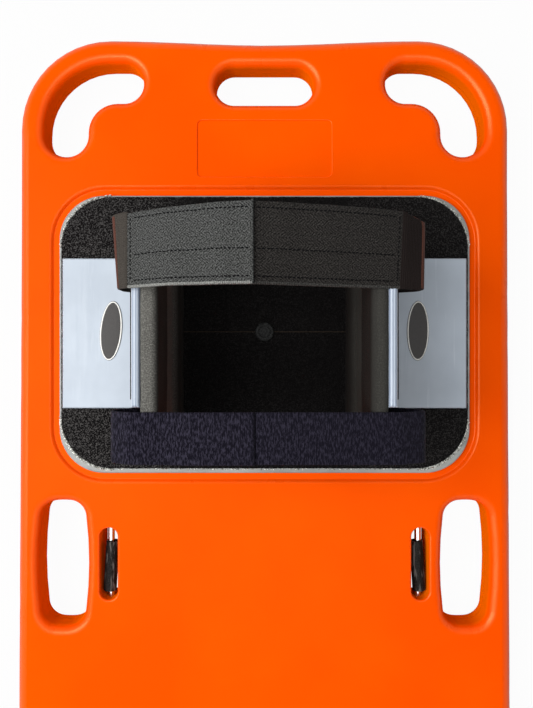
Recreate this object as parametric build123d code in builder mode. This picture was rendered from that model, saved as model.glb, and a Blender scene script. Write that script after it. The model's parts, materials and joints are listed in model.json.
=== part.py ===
"""Spine board with a head immobiliser.

Millimetres. X runs across the board, Y along it with the head end at +Y, Z up.
The origin is the middle of the footprint, on the floor under the runners.
"""

import os
from math import atan2, cos, sin

from build123d import *

os.makedirs("parts", exist_ok=True)

# Board shell
board_length = 1829.0
shoulder_width = 466.0
head_taper = 5.0
foot_taper = 10.0
shoulder_from_head = 665.0
body_thickness = 36.0
edge_rounding = 9.5
corner_radius = 85.0
end_dip = 4.0
hole_rim_rounding = 8.5

# Runners under the board
runner_height = 12.0
runner_width = 60.0
runner_from_end = 174.5
runner_from_slot = 10.2
runner_draft = 14.0
runner_rounding = 4.0

# Hand holes in the two ends and the four corners
end_bar_width = 22.0
end_hole_length = 93.0
end_hole_width = 35.4
corner_bar_width = 22.5
corner_hole_width = 37.0
corner_reach_across = 12.5
corner_reach_down = 4.6
corner_leg_width = 41.0
corner_inner_bend_inset = 6.5

# Hand holes in the two sides
side_hole_length = 118.0
side_hole_width = 46.6
side_hole_end_width = 38.0
side_hole_end_bulge = 3.0
side_hole_corner = 16.0
side_bar_width = 19.4
side_hole_from_recess = 20.5
station_count = 3

# Clip pins beside the side hand holes
pin_slot_rim = 2.2
pin_slot_from_hole = 12.2
pin_diameter = 6.35
pin_depth = 13.0
pin_embedded = 14.0
pin_end_chamfer = 0.8
pin_seat_clearance = 0.05
sleeve_length = 47.5
sleeve_wall = 1.45
sleeve_play = 3.15
sleeve_clearance = 0.2
sleeve_side_gap = 2.1
sleeve_foot_gap = 5.3
sleeve_head_gap = 14.8
sleeve_rim = 0.5

# Bare moulded panel at the head end
panel_length = 126.0
panel_height = 53.0
panel_corner = 4.5
panel_depth = 1.2
panel_rim = 0.9
panel_from_hole = 15.9

# Recess that holds the immobiliser base
base_from_panel = 18.3
base_from_side = 41.0
base_length = 259.6
base_corner = 42.0
base_thickness = 6.0
base_edge_rounding = 1.4
recess_depth = 3.0
recess_clearance = 6.5
recess_wall_slope = 40.0
recess_rim_rounding = 3.5
recess_foot_rounding = 1.5

# Loop fabric on the base, in two panels with a seam across the middle
loop_side_inset = 2.4
loop_head_inset = 1.6
loop_foot_inset = 4.6
loop_corner = 48.0
loop_thickness = 2.2
loop_seam = 0.8
seam_from_base_middle = 2.3

# Stud that holds the base to the board
stud_head_diameter = 17.5
stud_head_height = 3.4
stud_dish_diameter = 9.5
stud_dish_depth = 0.9
stud_rim_rounding = 1.2
stud_shank_diameter = 8.0
stud_depth_in_board = 14.0
stud_clearance = 0.2

# Head blocks, one each side
head_gap = 154.0
pad_thickness = 13.2
pad_rounding = 2.5
ear_channel_depth = 5.0
ear_channel_foot = 30.0
ear_channel_top = 103.0
ear_channel_slope = 8.0
sill_step = 2.0
wall_thickness = 6.5
wall_above_board = 150.0
wall_length = 140.5
wall_rim_rounding = 2.6
bend_rounding = 1.5
foot_from_base_side = 5.1
foot_thickness = 3.0
foot_from_wall_end = 15.0
foot_bevel = 0.9
gusset_height = 34.0
gusset_reach = 13.0
block_from_base_middle = 85.1
hook_thickness = 1.5
hook_inset = 3.0
body_gap = 0.3

# Loop tape on the outer face of each wall, where the forehead strap ends
wall_tape_thickness = 1.6
wall_tape_inset = 6.0

# Blank oval badges on the foot plates
badge_length = 55.0
badge_width = 20.4
badge_thickness = 0.9
badge_edge = 0.4
badge_tilt = {"left": -5.0, "right": -0.7}
badge_from_middle = 2.25

# Forehead strap, two halves lapped at the crown
forehead_width = 54.5
forehead_thickness = 2.6
crown_above_wall = 51.0
crown_offset = -7.0
shoulder_above_wall = 3.5
shoulder_overhang = 4.0
lap_length = 50.0
bow_reach = {"left": 13.5, "right": 19.5}
bow_top_below_wall = 7.0
bow_foot_below_wall = 27.0
tab_below_wall = 42.0
tab_length = 52.0
strap_bend = 8.0

# Chin strap, two halves lapped between the pads
chin_width = 38.1
chin_thickness = 2.4
chin_from_wall = 3.0
chin_past_pad = 1.6
chin_lap_length = 45.0
chin_ramp = 18.0
chin_overhang = 7.0
chin_bow_reach = {"left": 22.0, "right": 27.7}
chin_bow_drop = 9.0
chin_bow_height = 17.0
chin_tab_drop = 18.0
chin_tab_length = 38.0
chin_anchor_thickness = 1.5
chin_anchor_margin = 2.0

# Places that follow from the sizes above
board_top = runner_height + body_thickness
head_y = board_length / 2
corner_y = head_y - corner_radius
head_width = shoulder_width - head_taper
foot_width = shoulder_width - foot_taper
sides = {"left": -1, "right": 1}

end_hole_y = head_y - end_dip - end_bar_width - end_hole_width / 2
panel_y = end_hole_y - end_hole_width / 2 - panel_from_hole - panel_height / 2
base_width = shoulder_width - 2 * base_from_side
base_y = panel_y - panel_height / 2 - base_from_panel - base_length / 2
seam_y = base_y + seam_from_base_middle
recess_floor = board_top - recess_depth
base_top = recess_floor + base_thickness
loop_top = base_top + loop_thickness

recess_foot_y = base_y - base_length / 2 - recess_clearance
station_pitch = recess_foot_y - side_hole_from_recess - side_hole_length / 2
stations = [station_pitch * (i - (station_count - 1) / 2) for i in range(station_count)]
station_names = ["foot", "middle", "head"]

sleeve_bore = pin_diameter + sleeve_play
sleeve_outer = sleeve_bore + 2 * sleeve_wall
sleeve_lean = atan2(sleeve_play / 2 - sleeve_clearance, sleeve_length / 2)
pin_slot_width = sleeve_outer + 2 * sleeve_side_gap
pin_slot_length = sleeve_foot_gap + sleeve_length + sleeve_head_gap
pin_slot_edge = shoulder_width / 2 - side_bar_width - side_hole_width - pin_slot_from_hole
pin_slot_offset = pin_slot_edge - pin_slot_width / 2
pin_z = board_top - pin_depth
pin_length = pin_slot_length + 2 * pin_embedded
sleeve_rest = (sleeve_foot_gap - sleeve_head_gap) / 2
runner_offset = pin_slot_offset - pin_slot_width / 2 - runner_from_slot - runner_width / 2
runner_length = board_length - 2 * runner_from_end

hook_foot = loop_top + body_gap
foot_foot = hook_foot + hook_thickness
foot_top = foot_foot + foot_thickness
wall_top = board_top + wall_above_board
pad_inner = head_gap / 2
pad_outer = pad_inner + pad_thickness
wall_outer = pad_outer + wall_thickness
foot_outer = base_width / 2 - foot_from_base_side
block_head_y = base_y + block_from_base_middle
wall_foot_y = block_head_y - wall_length
foot_head_y = block_head_y - foot_from_wall_end
foot_foot_y = wall_foot_y - gusset_reach
foot_length = foot_head_y - foot_foot_y
foot_middle = (wall_outer + foot_outer) / 2
foot_middle_y = (foot_foot_y + foot_head_y) / 2
chin_head_y = wall_foot_y - chin_from_wall
pad_foot_y = chin_head_y - chin_width + chin_past_pad
pad_length = block_head_y - pad_foot_y


def board_half_width(y):
    """Half the board's width at a place along it, close to the moulded side edge."""
    end_width = head_width if y > 0 else foot_width
    shoulder_y = head_y - shoulder_from_head
    share = abs(y - shoulder_y) / (corner_y + abs(shoulder_y))
    return (shoulder_width - (shoulder_width - end_width) * min(share, 1.0)) / 2


# Outline of the board
with BuildSketch(Plane.XY.offset(runner_height)) as outline:
    with BuildLine() as outline_edges:
        head_half = head_width / 2
        foot_half = foot_width / 2
        head_corner_x = head_half - corner_radius
        foot_corner_x = foot_half - corner_radius
        Spline(
            (head_corner_x, head_y),
            (0, head_y - end_dip),
            (-head_corner_x, head_y),
            tangents=[(-1, 0), (-1, 0)],
        )
        CenterArc((-head_corner_x, corner_y), corner_radius, 90, 90)
        Spline(
            (-head_half, corner_y),
            (-shoulder_width / 2, head_y - shoulder_from_head),
            (-foot_half, -corner_y),
            tangents=[(0, -1), (0, -1)],
        )
        CenterArc((-foot_corner_x, -corner_y), corner_radius, 180, 90)
        Spline(
            (-foot_corner_x, -head_y),
            (0, -head_y + end_dip),
            (foot_corner_x, -head_y),
            tangents=[(1, 0), (1, 0)],
        )
        CenterArc((foot_corner_x, -corner_y), corner_radius, 270, 90)
        Spline(
            (foot_half, -corner_y),
            (shoulder_width / 2, head_y - shoulder_from_head),
            (head_half, corner_y),
            tangents=[(0, 1), (0, 1)],
        )
        CenterArc((head_corner_x, corner_y), corner_radius, 0, 90)
    make_face()

# One side hand hole, a barrel with rounded corners
with BuildSketch() as side_hole:
    with BuildLine():
        half_end = side_hole_end_width / 2
        half_length = side_hole_length / 2
        corner_half = half_length - side_hole_end_bulge
        ThreePointArc((half_end, -corner_half), (side_hole_width / 2, 0), (half_end, corner_half))
        ThreePointArc((half_end, corner_half), (0, half_length), (-half_end, corner_half))
        ThreePointArc((-half_end, corner_half), (-side_hole_width / 2, 0), (-half_end, -corner_half))
        ThreePointArc((-half_end, -corner_half), (0, -half_length), (half_end, -corner_half))
    make_face()
    fillet(side_hole.vertices(), side_hole_corner)

# One corner hand hole, a bent slot that follows the board's corner
corner_outer = corner_radius - corner_bar_width
corner_inner = corner_outer - corner_hole_width
leg_inner = corner_outer - corner_leg_width
leg_middle = corner_outer - corner_leg_width / 2
corner_inner_radius = leg_inner + corner_inner_bend_inset
inner_arc_x = -corner_inner_bend_inset
inner_arc_y = corner_inner - corner_inner_radius
with BuildSketch() as corner_hole:
    with BuildLine():
        Line((-corner_reach_across, corner_outer), (0, corner_outer))
        CenterArc((0, 0), corner_outer, 0, 90)
        Line((corner_outer, 0), (corner_outer, -corner_reach_down))
        CenterArc((leg_middle, -corner_reach_down), corner_leg_width / 2, 180, 180)
        Line((leg_inner, -corner_reach_down), (leg_inner, inner_arc_y))
        CenterArc((inner_arc_x, inner_arc_y), corner_inner_radius, 0, 90)
        Line((inner_arc_x, corner_inner), (-corner_reach_across, corner_inner))
        CenterArc((-corner_reach_across, (corner_outer + corner_inner) / 2), corner_hole_width / 2, 90, 180)
    make_face()
with BuildSketch() as corner_holes:
    for end, corner_x in ((1, head_corner_x), (-1, foot_corner_x)):
        for side in sides.values():
            with Locations((side * corner_x, end * corner_y)):
                shape = corner_hole.sketch
                if side < 0:
                    shape = shape.mirror(Plane.YZ)
                if end < 0:
                    shape = shape.mirror(Plane.XZ)
                add(shape)

# Board shell with its hand holes, runners, recess, bare panel and pin slots
with BuildPart() as board:
    add(outline.sketch)
    extrude(amount=body_thickness)
    top_edges = board.faces().sort_by(Axis.Z)[-1].edges()
    foot_edges = board.faces().sort_by(Axis.Z)[0].edges()
    fillet(top_edges + foot_edges, edge_rounding)

    with BuildSketch(Plane.XY.offset(runner_height)) as hand_holes:
        for y in stations:
            for side in sides.values():
                hole_x = board_half_width(y) - side_bar_width - side_hole_width / 2
                with Locations((side * hole_x, y)):
                    add(side_hole.sketch)
        add(corner_holes.sketch)
        with Locations((0, end_hole_y), (0, -end_hole_y)):
            SlotOverall(end_hole_length, end_hole_width)
    extrude(amount=body_thickness, mode=Mode.SUBTRACT)
    top_rims = board.faces().sort_by(Axis.Z)[-1].inner_wires().edges()
    foot_rims = board.faces().sort_by(Axis.Z)[0].inner_wires().edges()
    fillet(top_rims + foot_rims, hole_rim_rounding)

    with BuildSketch(Plane.XY.offset(runner_height)) as runners:
        with Locations((runner_offset, 0), (-runner_offset, 0)):
            SlotOverall(runner_length, runner_width, rotation=90)
    extrude(amount=-runner_height, taper=runner_draft)
    fillet(board.faces().filter_by(Plane.XY).group_by(Axis.Z)[0].edges(), runner_rounding)

    with BuildSketch(Plane.XY.offset(recess_floor)) as recess:
        with Locations((0, base_y)):
            RectangleRounded(
                base_width + 2 * recess_clearance,
                base_length + 2 * recess_clearance,
                base_corner + recess_clearance,
            )
    extrude(amount=recess_depth, taper=-recess_wall_slope, mode=Mode.SUBTRACT)
    recess_faces = board.faces().filter_by(Plane.XY).group_by(Axis.Z)[-2]
    fillet(recess_faces.edges(), recess_foot_rounding)
    top_wires = board.faces().sort_by(Axis.Z)[-1].inner_wires()
    fillet(top_wires.sort_by(SortBy.LENGTH)[-1].edges(), recess_rim_rounding)

    with BuildSketch(Plane.XY.offset(board_top)) as panel:
        with Locations((0, panel_y)):
            RectangleRounded(panel_length, panel_height, panel_corner)
    extrude(amount=-panel_depth, mode=Mode.SUBTRACT)
    top_wires = board.faces().sort_by(Axis.Z)[-1].inner_wires()
    fillet(top_wires.sort_by_distance((0, panel_y, board_top))[0].edges(), panel_rim)

    with BuildSketch(Plane.XY.offset(runner_height)) as pin_slots:
        for y in stations:
            with Locations((pin_slot_offset, y), (-pin_slot_offset, y)):
                SlotOverall(pin_slot_length, pin_slot_width, rotation=90)
    extrude(amount=body_thickness, mode=Mode.SUBTRACT)
    top_face = board.faces().filter_by(Plane.XY).sort_by(Axis.Z)[-1]
    foot_face = board.faces().filter_by(Plane.XY).sort_by_distance((0, 0, runner_height))[0]
    slot_rims = ShapeList()
    for y in stations:
        for side in sides.values():
            slot_x = side * pin_slot_offset
            slot_rims += top_face.inner_wires().sort_by_distance((slot_x, y, board_top))[0].edges()
            slot_rims += foot_face.inner_wires().sort_by_distance((slot_x, y, runner_height))[0].edges()
    fillet(slot_rims, pin_slot_rim)

    for y in stations:
        for side in sides.values():
            with Locations((side * pin_slot_offset, y, pin_z)):
                Cylinder(
                    pin_diameter / 2 + pin_seat_clearance,
                    pin_length + 2 * pin_seat_clearance,
                    rotation=(90, 0, 0),
                    mode=Mode.SUBTRACT,
                )
    with Locations((0, seam_y, recess_floor)):
        Hole(stud_shank_diameter / 2 + stud_clearance, stud_depth_in_board)
board.part.label = "board"
export_step(board.part, "parts/board.step")

# Steel clip pins moulded into the board, and the loose sleeves on them
for station, y in zip(station_names, stations):
    for side_name, side in sides.items():
        with BuildPart() as clip_pin:
            with Locations((side * pin_slot_offset, y, pin_z)):
                Cylinder(pin_diameter / 2, pin_length, rotation=(90, 0, 0))
            chamfer(clip_pin.edges().filter_by(GeomType.CIRCLE), pin_end_chamfer)
        clip_pin.part.label = f"clip_pin_{side_name}_{station}"
        export_step(clip_pin.part, f"parts/clip_pin_{side_name}_{station}.step")

        along = (-side * sin(sleeve_lean), cos(sleeve_lean), 0)
        across = (cos(sleeve_lean), side * sin(sleeve_lean), 0)
        middle = (side * pin_slot_offset, y + sleeve_rest, pin_z)
        with BuildPart() as sleeve:
            with BuildSketch(Plane(origin=middle, x_dir=across, z_dir=along)):
                Circle(sleeve_outer / 2)
                Circle(sleeve_bore / 2, mode=Mode.SUBTRACT)
            extrude(amount=sleeve_length / 2, both=True)
            fillet(sleeve.edges().filter_by(GeomType.CIRCLE), sleeve_rim)
        sleeve.part.label = f"pin_sleeve_{side_name}_{station}"
        export_step(sleeve.part, f"parts/pin_sleeve_{side_name}_{station}.step")

# Immobiliser base plate in the recess
with BuildPart() as base_plate:
    with BuildSketch(Plane.XY.offset(recess_floor)):
        with Locations((0, base_y)):
            RectangleRounded(base_width, base_length, base_corner)
        with Locations((0, seam_y)):
            Circle(stud_shank_diameter / 2 + stud_clearance, mode=Mode.SUBTRACT)
    extrude(amount=base_thickness)
    fillet(base_plate.faces().sort_by(Axis.Z)[-1].outer_wire().edges(), base_edge_rounding)
base_plate.part.label = "base_plate"
export_step(base_plate.part, "parts/base_plate.step")

# Loop fabric glued to the base, one panel each side of the seam
loop_length = base_length - loop_head_inset - loop_foot_inset
loop_y = base_y + (loop_foot_inset - loop_head_inset) / 2
for panel_name, end in (("head", 1), ("foot", -1)):
    with BuildPart() as loop_panel:
        with BuildSketch(Plane.XY.offset(base_top)):
            with Locations((0, loop_y)):
                RectangleRounded(base_width - 2 * loop_side_inset, loop_length, loop_corner)
            with Locations((0, seam_y + end * (loop_seam + base_length) / 2)):
                Rectangle(base_width, base_length, mode=Mode.INTERSECT)
            with Locations((0, seam_y)):
                Circle(stud_shank_diameter / 2 + stud_clearance, mode=Mode.SUBTRACT)
        extrude(amount=loop_thickness)
    loop_panel.part.label = f"loop_panel_{panel_name}"
    export_step(loop_panel.part, f"parts/loop_panel_{panel_name}.step")

# Stud with a dished head, which pins the base to the board
stud_foot = recess_floor - stud_depth_in_board + stud_clearance
stud_top = loop_top + stud_head_height
with BuildPart() as stud:
    with BuildSketch(Plane(origin=(0, seam_y, 0), x_dir=(1, 0, 0), z_dir=(0, -1, 0))):
        with BuildLine():
            stem = Polyline(
                (0, stud_top - stud_dish_depth),
                (0, stud_foot),
                (stud_shank_diameter / 2, stud_foot),
                (stud_shank_diameter / 2, loop_top),
                (stud_head_diameter / 2, loop_top),
                (stud_head_diameter / 2, stud_top - stud_rim_rounding),
            )
            rim = JernArc(stem @ 1, (0, 1), stud_rim_rounding, 90)
            Polyline(
                rim @ 1,
                (stud_dish_diameter / 2 + stud_dish_depth, stud_top),
                (stud_dish_diameter / 2, stud_top - stud_dish_depth),
                (0, stud_top - stud_dish_depth),
            )
        make_face()
    revolve(axis=Axis((0, seam_y, 0), (0, 0, 1)))
stud.part.label = "base_stud"
export_step(stud.part, "parts/base_stud.step")

# Head blocks: bracket, tapes, pad and badge on each side
gusset_top = foot_top + gusset_height
wall_points = [
    (foot_foot_y, foot_foot),
    (block_head_y, foot_foot),
    (block_head_y, wall_top),
    (wall_foot_y, wall_top),
    (wall_foot_y, gusset_top),
    (foot_foot_y, foot_top),
]
chin_z = wall_top + body_gap + chin_thickness / 2
chin_tab_top = chin_z - chin_bow_drop - chin_bow_height - chin_tab_drop
for side_name, side in sides.items():
    with BuildPart() as bracket:
        with BuildSketch(Plane.YZ.offset(side * pad_outer)):
            Polygon(*wall_points, align=None)
        extrude(amount=side * wall_thickness)
        fillet(bracket.faces().sort_by(Axis.Z)[-1].edges(), wall_rim_rounding)
        with BuildSketch(Plane.XY.offset(foot_foot)):
            with Locations((side * (pad_outer + foot_outer) / 2, foot_middle_y)):
                Rectangle(foot_outer - pad_outer, foot_length)
        extrude(amount=foot_thickness)
        foot_face = bracket.faces().filter_by(Plane.XY).group_by(Axis.Z)[-2]
        foot_rim = foot_face.edges().filter_by(Axis.X)
        foot_rim += foot_face.edges().filter_by(Axis.Y).sort_by(Axis.X)[-1 if side > 0 else 0]
        chamfer(foot_rim, foot_bevel)
        bend = bracket.edges().filter_by(Axis.Y).sort_by_distance((side * wall_outer, base_y, foot_top))[0]
        fillet(bend, bend_rounding)
    bracket.part.label = f"bracket_{side_name}"
    export_step(bracket.part, f"parts/bracket_{side_name}.step")

    with BuildPart() as foot_hook:
        with BuildSketch(Plane.XY.offset(hook_foot)):
            with Locations((side * (pad_outer + foot_outer) / 2, foot_middle_y)):
                Rectangle(foot_outer - pad_outer - 2 * hook_inset, foot_length - 2 * hook_inset)
        extrude(amount=hook_thickness)
    foot_hook.part.label = f"foot_hook_{side_name}"
    export_step(foot_hook.part, f"parts/foot_hook_{side_name}.step")

    with BuildPart() as wall_tape:
        with BuildSketch(Plane.YZ.offset(side * wall_outer)):
            Polygon(*wall_points, align=None)
            offset(amount=-wall_tape_inset, kind=Kind.INTERSECTION, mode=Mode.REPLACE)
        extrude(amount=side * wall_tape_thickness)
    wall_tape.part.label = f"wall_tape_{side_name}"
    export_step(wall_tape.part, f"parts/wall_tape_{side_name}.step")

    channel_foot = board_top + ear_channel_foot
    channel_top = board_top + ear_channel_top
    channel_x = pad_inner + ear_channel_depth
    sill_x = pad_inner - sill_step
    pad_points = [
        (pad_outer, hook_foot),
        (pad_outer, wall_top),
        (pad_inner, wall_top),
        (pad_inner, channel_top),
        (channel_x, channel_top - ear_channel_slope),
        (channel_x, channel_foot + ear_channel_slope),
        (sill_x, channel_foot),
        (sill_x, hook_foot),
    ]
    with BuildPart() as pad:
        with BuildSketch(Plane.XZ.offset(-block_head_y)) as pad_profile:
            Polygon(*[(side * x, z) for x, z in pad_points], align=None)
            fillet(pad_profile.vertices(), pad_rounding)
        extrude(amount=pad_length)
    pad.part.label = f"foam_pad_{side_name}"
    export_step(pad.part, f"parts/foam_pad_{side_name}.step")

    with BuildPart() as badge:
        with BuildSketch(Plane.XY.offset(foot_top)):
            with Locations((side * foot_middle, foot_middle_y + badge_from_middle)):
                Ellipse(badge_width / 2, badge_length / 2, rotation=badge_tilt[side_name])
        extrude(amount=badge_thickness)
        chamfer(badge.faces().sort_by(Axis.Z)[-1].edges(), badge_edge)
    badge.part.label = f"badge_{side_name}"
    export_step(badge.part, f"parts/badge_{side_name}.step")

    with BuildPart() as chin_anchor:
        with BuildSketch(Plane.YZ.offset(side * pad_outer)):
            anchor_foot = chin_tab_top - chin_tab_length - chin_anchor_margin
            anchor_height = chin_tab_length + 2 * chin_anchor_margin
            with Locations(((chin_head_y + pad_foot_y) / 2, anchor_foot + anchor_height / 2)):
                Rectangle(chin_head_y - pad_foot_y - chin_anchor_margin, anchor_height)
        extrude(amount=side * chin_anchor_thickness)
    chin_anchor.part.label = f"chin_anchor_{side_name}"
    export_step(chin_anchor.part, f"parts/chin_anchor_{side_name}.step")

# Forehead strap: the left half lies over the right one at the crown
crown_z = wall_top + crown_above_wall
shoulder_z = wall_top + shoulder_above_wall
shoulder_x = wall_outer + shoulder_overhang
left_slope = atan2(crown_z - shoulder_z, shoulder_x + crown_offset)
lower_drop = (forehead_thickness + body_gap) / cos(left_slope)
lap_x = crown_offset - lap_length
lap_z = crown_z - lap_length * sin(left_slope) / cos(left_slope) - lower_drop
crown_line = {
    "left": [(crown_offset, crown_z)],
    "right": [(lap_x, lap_z), (crown_offset, crown_z - lower_drop)],
}
tab_x = wall_outer + wall_tape_thickness + forehead_thickness / 2
for side_name, side in sides.items():
    bow_x = side * (wall_outer + bow_reach[side_name])
    strap_points = crown_line[side_name] + [
        (side * shoulder_x, shoulder_z),
        (bow_x, wall_top - bow_top_below_wall),
        (bow_x, wall_top - bow_foot_below_wall),
        (side * tab_x, wall_top - tab_below_wall),
        (side * tab_x, wall_top - tab_below_wall - tab_length),
    ]
    with BuildPart() as forehead_strap:
        with BuildSketch(Plane.XZ.offset(-block_head_y)):
            with BuildLine():
                FilletPolyline(*strap_points, radius=strap_bend)
            trace(line_width=forehead_thickness)
        extrude(amount=forehead_width)
    forehead_strap.part.label = f"forehead_strap_{side_name}"
    export_step(forehead_strap.part, f"parts/forehead_strap_{side_name}.step")

# Chin strap over the foot ends of the pads, lapped the same way
chin_step = chin_thickness + body_gap
ramp_start = crown_offset - chin_lap_length - chin_thickness
chin_line = {
    "left": [(crown_offset, chin_z + chin_step), (ramp_start, chin_z + chin_step), (ramp_start - chin_ramp, chin_z)],
    "right": [(crown_offset - chin_lap_length, chin_z)],
}
chin_shoulder_x = pad_outer + chin_overhang
chin_tab_x = pad_outer + chin_anchor_thickness + chin_thickness / 2
for side_name, side in sides.items():
    chin_bow_x = pad_outer + chin_bow_reach[side_name]
    chin_points = chin_line[side_name] + [
        (side * chin_shoulder_x, chin_z),
        (side * chin_bow_x, chin_z - chin_bow_drop),
        (side * chin_bow_x, chin_z - chin_bow_drop - chin_bow_height),
        (side * chin_tab_x, chin_tab_top),
        (side * chin_tab_x, chin_tab_top - chin_tab_length),
    ]
    with BuildPart() as chin_strap:
        with BuildSketch(Plane.XZ.offset(-chin_head_y)):
            with BuildLine():
                FilletPolyline(*chin_points, radius=strap_bend)
            trace(line_width=chin_thickness)
        extrude(amount=chin_width)
    chin_strap.part.label = f"chin_strap_{side_name}"
    export_step(chin_strap.part, f"parts/chin_strap_{side_name}.step")
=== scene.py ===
import json
import math
import random

import bmesh
import bpy
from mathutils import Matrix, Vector, noise


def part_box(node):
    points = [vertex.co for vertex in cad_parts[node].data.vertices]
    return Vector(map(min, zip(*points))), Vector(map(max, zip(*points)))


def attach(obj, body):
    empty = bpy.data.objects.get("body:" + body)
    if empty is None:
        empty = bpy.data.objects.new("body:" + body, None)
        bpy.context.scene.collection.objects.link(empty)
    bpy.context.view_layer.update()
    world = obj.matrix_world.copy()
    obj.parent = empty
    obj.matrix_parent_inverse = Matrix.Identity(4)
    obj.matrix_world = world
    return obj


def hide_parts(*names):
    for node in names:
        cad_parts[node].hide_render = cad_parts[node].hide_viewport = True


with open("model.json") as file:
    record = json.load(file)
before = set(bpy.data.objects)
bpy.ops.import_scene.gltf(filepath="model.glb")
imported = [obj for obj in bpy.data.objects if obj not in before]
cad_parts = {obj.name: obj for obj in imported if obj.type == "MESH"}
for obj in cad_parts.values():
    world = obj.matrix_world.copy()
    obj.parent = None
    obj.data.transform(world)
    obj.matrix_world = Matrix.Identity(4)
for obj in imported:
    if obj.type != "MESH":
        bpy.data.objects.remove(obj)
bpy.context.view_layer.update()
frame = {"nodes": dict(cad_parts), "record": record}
nodes = frame["nodes"]
random.seed(7)
scene = bpy.context.scene

SIDES = {"left": -1, "right": 1}
MM = 0.001

# Places on the CAD model, in metres
BOARD_TOP = 48 * MM
PARTING_LINE_Z = 29 * MM
WALL_TOP = 198 * MM
WALL_OUTER = 96.7 * MM
WALL_FOOT_Y = 580 * MM
GUSSET_TOP, GUSSET_FOOT = 92 * MM, 60.6 * MM
PAD_OUTER = 90.2 * MM
LOOP_CORNER = 48 * MM

# Where looks change with the distance from the middle of the board, as (from, to)
# |x| over which the painted shade between the head blocks lifts off the loops
LOOPS_OUTSIDE_BLOCKS = (70 * MM, 100 * MM)
# |x| over which a pad turns from the painted shade of its inner face to its skin
PAD_INSIDE_TO_SKIN = (76.5 * MM, 82.5 * MM)
WALL_STRIPES_TO = 96.95 * MM
WALL_STRIPE_PITCH = 2.1 * MM


# Materials
def make_node(tree, kind, inputs=None, **settings):
    """A shader node, with sockets linked and values set by the keys of its inputs."""
    node = tree.nodes.new("ShaderNode" + kind)
    for key, value in settings.items():
        setattr(node, key, value)
    for key, value in (inputs or {}).items():
        if isinstance(value, bpy.types.NodeSocket):
            tree.links.new(value, node.inputs[key])
        else:
            node.inputs[key].default_value = value
    return node


class Look:
    """A Principled material whose colour, roughness and bump come from procedural nodes."""

    SOCKETS = {
        "specular": "Specular IOR Level",
        "specular_tint": "Specular Tint",
        "metallic": "Metallic",
        "sheen": "Sheen Weight",
        "sheen_roughness": "Sheen Roughness",
        "coat": "Coat Weight",
        "coat_roughness": "Coat Roughness",
    }

    def __init__(self, name, colour, roughness, **sockets):
        self.name = name
        self.material = bpy.data.materials.new(name)
        self.material.use_nodes = True
        self.tree = self.material.node_tree
        self.shader = self.tree.nodes["Principled BSDF"]
        self.shader.inputs["Base Color"].default_value = (*colour, 1)
        self.shader.inputs["Roughness"].default_value = roughness
        for key, value in sockets.items():
            self.shader.inputs[self.SOCKETS[key]].default_value = value
        self.normal = None

    def add(self, kind, out=0, inputs=None, **settings):
        return make_node(self.tree, kind, inputs, **settings).outputs[out]

    def drive(self, socket, value):
        self.tree.links.new(value, self.shader.inputs[socket])

    def place(self, stretch=(1, 1, 1), source="Object", turn=(0, 0, 0)):
        raw = self.add("TexCoord", source)
        return self.add("Mapping", inputs={"Vector": raw, "Scale": stretch, "Rotation": turn})

    def noise(self, size, detail=2.0, stretch=(1, 1, 1), source="Object", rough=0.55):
        """Noise with features of about the given size in metres."""
        keys = {
            "Vector": self.place(stretch, source),
            "Scale": 1 / size,
            "Detail": detail,
            "Roughness": rough,
        }
        return self.add("TexNoise", inputs=keys)

    def cells(self, size):
        keys = {"Vector": self.place(), "Scale": 1 / size}
        return self.add("TexVoronoi", "Distance", keys)

    def waves(self, pitch, turn=0.0, wobble=0.0):
        """Stripes of one pitch in metres across the U direction, turned in the UV plane."""
        keys = {
            "Vector": self.place(source="UV", turn=(0, 0, turn)),
            "Scale": math.pi / 10 / pitch,
            "Distortion": wobble,
            "Detail": 1.0,
        }
        return self.add("TexWave", "Fac", keys)

    def axis(self, letter):
        return self.add("SeparateXYZ", letter, {"Vector": self.place()})

    def upward(self):
        """The normal's Z: 1 on the deck, 0 on a wall and -1 on the underside."""
        normal = self.add("TexCoord", "Normal")
        return self.add("SeparateXYZ", "Z", {"Vector": normal})

    def sum(self, operation, a, b=0.0):
        return self.add("Math", inputs={0: a, 1: b}, operation=operation)

    def remap(self, value, low, high, to_low=0.0, to_high=1.0):
        keys = {
            "Value": value,
            "From Min": low,
            "From Max": high,
            "To Min": to_low,
            "To Max": to_high,
        }
        return self.add("MapRange", inputs=keys)

    def mix(self, share, a, b):
        a = (*a, 1) if isinstance(a, tuple) else a
        b = (*b, 1) if isinstance(b, tuple) else b
        return self.add("Mix", 2, {0: share, 6: a, 7: b}, data_type="RGBA")

    def paint(self, share, a, b):
        self.drive("Base Color", self.mix(share, a, b))

    def rough(self, value, to_low, to_high):
        """Roughness between two levels, following a noise."""
        self.drive("Roughness", self.remap(value, 0.3, 0.7, to_low, to_high))

    def bump(self, height, depth, strength=1.0):
        """Adds relief of the given depth in metres."""
        keys = {"Height": height, "Distance": depth, "Strength": strength}
        if self.normal is not None:
            keys["Normal"] = self.normal
        self.normal = self.add("Bump", "Normal", keys)
        self.drive("Normal", self.normal)


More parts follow.
